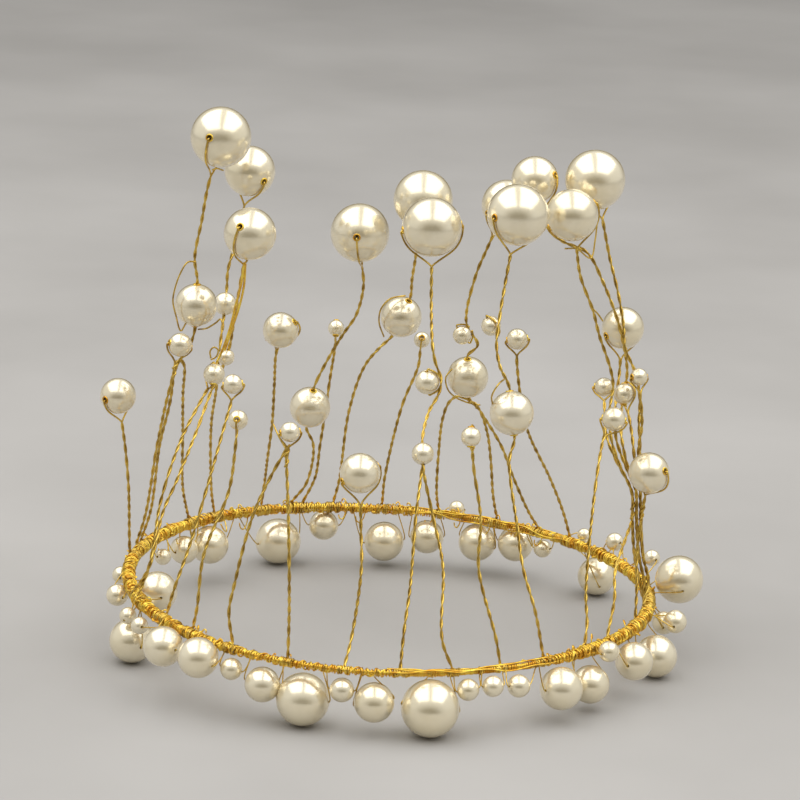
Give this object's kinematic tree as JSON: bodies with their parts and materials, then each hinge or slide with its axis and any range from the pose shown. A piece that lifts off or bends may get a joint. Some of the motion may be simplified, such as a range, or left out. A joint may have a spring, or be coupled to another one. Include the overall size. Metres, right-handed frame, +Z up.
{
  "type": "pearl wire crown",
  "caption": "Small open crown of gold wire: a wound hoop edged with strung pearls, and tall hand-bent wire stems that hold more pearls, each free to turn on its wire.",
  "frame": {"origin": "on the surface the crown stands on, below the middle of its bounding box", "axes": "+X to the right seen from the front, +Y to the back, +Z up through the hoop"},
  "size_m": [0.1444, 0.1274, 0.1267],
  "materials": {
    "pearl": "glossy ivory pearl coating",
    "gold_wire": "bright gold-coloured drawn wire, twisted",
    "gold_winding": "bright gold-coloured wire, closely wound"
  },
  "bodies": {
    "crown_frame": {"hoop_core": "gold_winding", "hoop_winding": "gold_winding", "rim_strand_back_left": "pearl", "rim_strand_back_right": "pearl", "rim_strand_front_left": "pearl", "rim_strand_front_right": "pearl", "rim_strand_left": "pearl", "rim_strand_right": "pearl", "stem_bead_04": "gold_wire", "stem_bead_05": "gold_wire", "stem_bead_07": "gold_wire", "stem_bead_08": "gold_wire", "stem_bead_10": "gold_wire", "stem_bead_12": "gold_wire", "stem_bead_14": "gold_wire", "stem_bead_21": "gold_wire", "stem_bead_22": "gold_wire", "stem_bead_25": "gold_wire", "stem_bead_26": "gold_wire", "stem_bead_27": "gold_wire", "stem_bead_28": "gold_wire", "stem_mid_01": "gold_wire", "stem_mid_03": "gold_wire", "stem_mid_06": "gold_wire", "stem_mid_09": "gold_wire", "stem_mid_10": "gold_wire", "stem_top_01": "gold_wire", "stem_top_02": "gold_wire", "stem_top_03": "gold_wire", "stem_top_04": "gold_wire", "stem_top_05": "gold_wire", "stem_top_06": "gold_wire", "stem_top_07": "gold_wire", "stem_top_08": "gold_wire", "stem_top_09": "gold_wire", "stem_top_10": "gold_wire", "stem_top_11": "gold_wire"},
    "mid_pearl_01": {"mid_pearl_01": "pearl"},
    "mid_pearl_02": {"mid_pearl_02": "pearl"},
    "mid_pearl_03": {"mid_pearl_03": "pearl"},
    "mid_pearl_04": {"mid_pearl_04": "pearl"},
    "mid_pearl_05": {"mid_pearl_05": "pearl"},
    "mid_pearl_06": {"mid_pearl_06": "pearl"},
    "mid_pearl_07": {"mid_pearl_07": "pearl"},
    "mid_pearl_08": {"mid_pearl_08": "pearl"},
    "mid_pearl_09": {"mid_pearl_09": "pearl"},
    "mid_pearl_10": {"mid_pearl_10": "pearl"},
    "top_pearl_01": {"top_pearl_01": "pearl"},
    "top_pearl_02": {"top_pearl_02": "pearl"},
    "top_pearl_03": {"top_pearl_03": "pearl"},
    "top_pearl_04": {"top_pearl_04": "pearl"},
    "top_pearl_05": {"top_pearl_05": "pearl"},
    "top_pearl_06": {"top_pearl_06": "pearl"},
    "top_pearl_07": {"top_pearl_07": "pearl"},
    "top_pearl_08": {"top_pearl_08": "pearl"},
    "top_pearl_09": {"top_pearl_09": "pearl"},
    "top_pearl_10": {"top_pearl_10": "pearl"},
    "top_pearl_11": {"top_pearl_11": "pearl"}
  },
  "joints": [
    {"name": "mid_pearl_01_spin", "type": "hinge", "parent": "crown_frame", "child": "mid_pearl_01", "pos_m": [-0.06801, 0.0103, 0.0555], "axis": [-0.6552, -0.7537, -0.0523], "continuous": true},
    {"name": "mid_pearl_02_spin", "type": "hinge", "parent": "crown_frame", "child": "mid_pearl_02", "pos_m": [-0.05001, 0.0063, 0.0794], "axis": [0.0244, 0, 0.9997], "continuous": true},
    {"name": "mid_pearl_03_spin", "type": "hinge", "parent": "crown_frame", "child": "mid_pearl_03", "pos_m": [-0.03061, 0.0183, 0.0711], "axis": [0.7834, -0.2395, 0.5736], "continuous": true},
    {"name": "mid_pearl_04_spin", "type": "hinge", "parent": "crown_frame", "child": "mid_pearl_04", "pos_m": [-0.02361, 0.0403, 0.0461], "axis": [0.1415, -0.3183, 0.9374], "continuous": true},
    {"name": "mid_pearl_05_spin", "type": "hinge", "parent": "crown_frame", "child": "mid_pearl_05", "pos_m": [-0.00231, 0.0383, 0.0704], "axis": [0.3305, -0.3069, 0.8925], "continuous": true},
    {"name": "mid_pearl_06_spin", "type": "hinge", "parent": "crown_frame", "child": "mid_pearl_06", "pos_m": [-0.00981, -0.0407, 0.0549], "axis": [-0.8517, -0.3971, -0.342], "continuous": true},
    {"name": "mid_pearl_07_spin", "type": "hinge", "parent": "crown_frame", "child": "mid_pearl_07", "pos_m": [0.01439, 0.0323, 0.0577], "axis": [-0.0568, -0.2555, 0.9651], "continuous": true},
    {"name": "mid_pearl_08_spin", "type": "hinge", "parent": "crown_frame", "child": "mid_pearl_08", "pos_m": [0.02349, -0.0257, 0.0659], "axis": [-0.1431, 0.2624, 0.9543], "continuous": true},
    {"name": "mid_pearl_09_spin", "type": "hinge", "parent": "crown_frame", "child": "mid_pearl_09", "pos_m": [0.04969, 0.0123, 0.0768], "axis": [-0.7969, -0.5375, -0.2756], "continuous": true},
    {"name": "mid_pearl_10_spin", "type": "hinge", "parent": "crown_frame", "child": "mid_pearl_10", "pos_m": [0.05619, -0.0117, 0.049], "axis": [0.7286, -0.6113, 0.309], "continuous": true},
    {"name": "top_pearl_01_spin", "type": "hinge", "parent": "crown_frame", "child": "top_pearl_01", "pos_m": [-0.04521, 0.0043, 0.1198], "axis": [-0.3216, -0.9339, 0.1564], "continuous": true},
    {"name": "top_pearl_02_spin", "type": "hinge", "parent": "crown_frame", "child": "top_pearl_02", "pos_m": [-0.03931, 0.0243, 0.1078], "axis": [0.5999, -0.7678, -0.225], "continuous": true},
    {"name": "top_pearl_03_spin", "type": "hinge", "parent": "crown_frame", "child": "top_pearl_03", "pos_m": [-0.03741, -0.0057, 0.0998], "axis": [-0.3481, -0.8202, 0.454], "continuous": true},
    {"name": "top_pearl_04_spin", "type": "hinge", "parent": "crown_frame", "child": "top_pearl_04", "pos_m": [-0.01291, 0.0263, 0.0936], "axis": [-0.0869, -0.9938, 0.0698], "continuous": true},
    {"name": "top_pearl_05_spin", "type": "hinge", "parent": "crown_frame", "child": "top_pearl_05", "pos_m": [0.00169, 0.0243, 0.1027], "axis": [0.5918, -0.7575, -0.2756], "continuous": true},
    {"name": "top_pearl_06_spin", "type": "hinge", "parent": "crown_frame", "child": "top_pearl_06", "pos_m": [0.00379, -0.0117, 0.1046], "axis": [-0.9762, -0.1898, -0.1045], "continuous": true},
    {"name": "top_pearl_07_spin", "type": "hinge", "parent": "crown_frame", "child": "top_pearl_07", "pos_m": [0.02149, 0.0263, 0.1019], "axis": [-0.7507, -0.6079, -0.2588], "continuous": true},
    {"name": "top_pearl_08_spin", "type": "hinge", "parent": "crown_frame", "child": "top_pearl_08", "pos_m": [0.02299, -0.0117, 0.1083], "axis": [-0.7659, -0.6427, 0.0175], "continuous": true},
    {"name": "top_pearl_09_spin", "type": "hinge", "parent": "crown_frame", "child": "top_pearl_09", "pos_m": [0.02729, 0.0123, 0.1113], "axis": [0.8219, -0.4556, 0.342], "continuous": true},
    {"name": "top_pearl_10_spin", "type": "hinge", "parent": "crown_frame", "child": "top_pearl_10", "pos_m": [0.04119, 0.0123, 0.1119], "axis": [-0.3719, -0.7299, -0.5736], "continuous": true},
    {"name": "top_pearl_11_spin", "type": "hinge", "parent": "crown_frame", "child": "top_pearl_11", "pos_m": [0.03569, -0.0007, 0.1063], "axis": [-0.8555, -0.1818, -0.4848], "continuous": true}
  ]
}
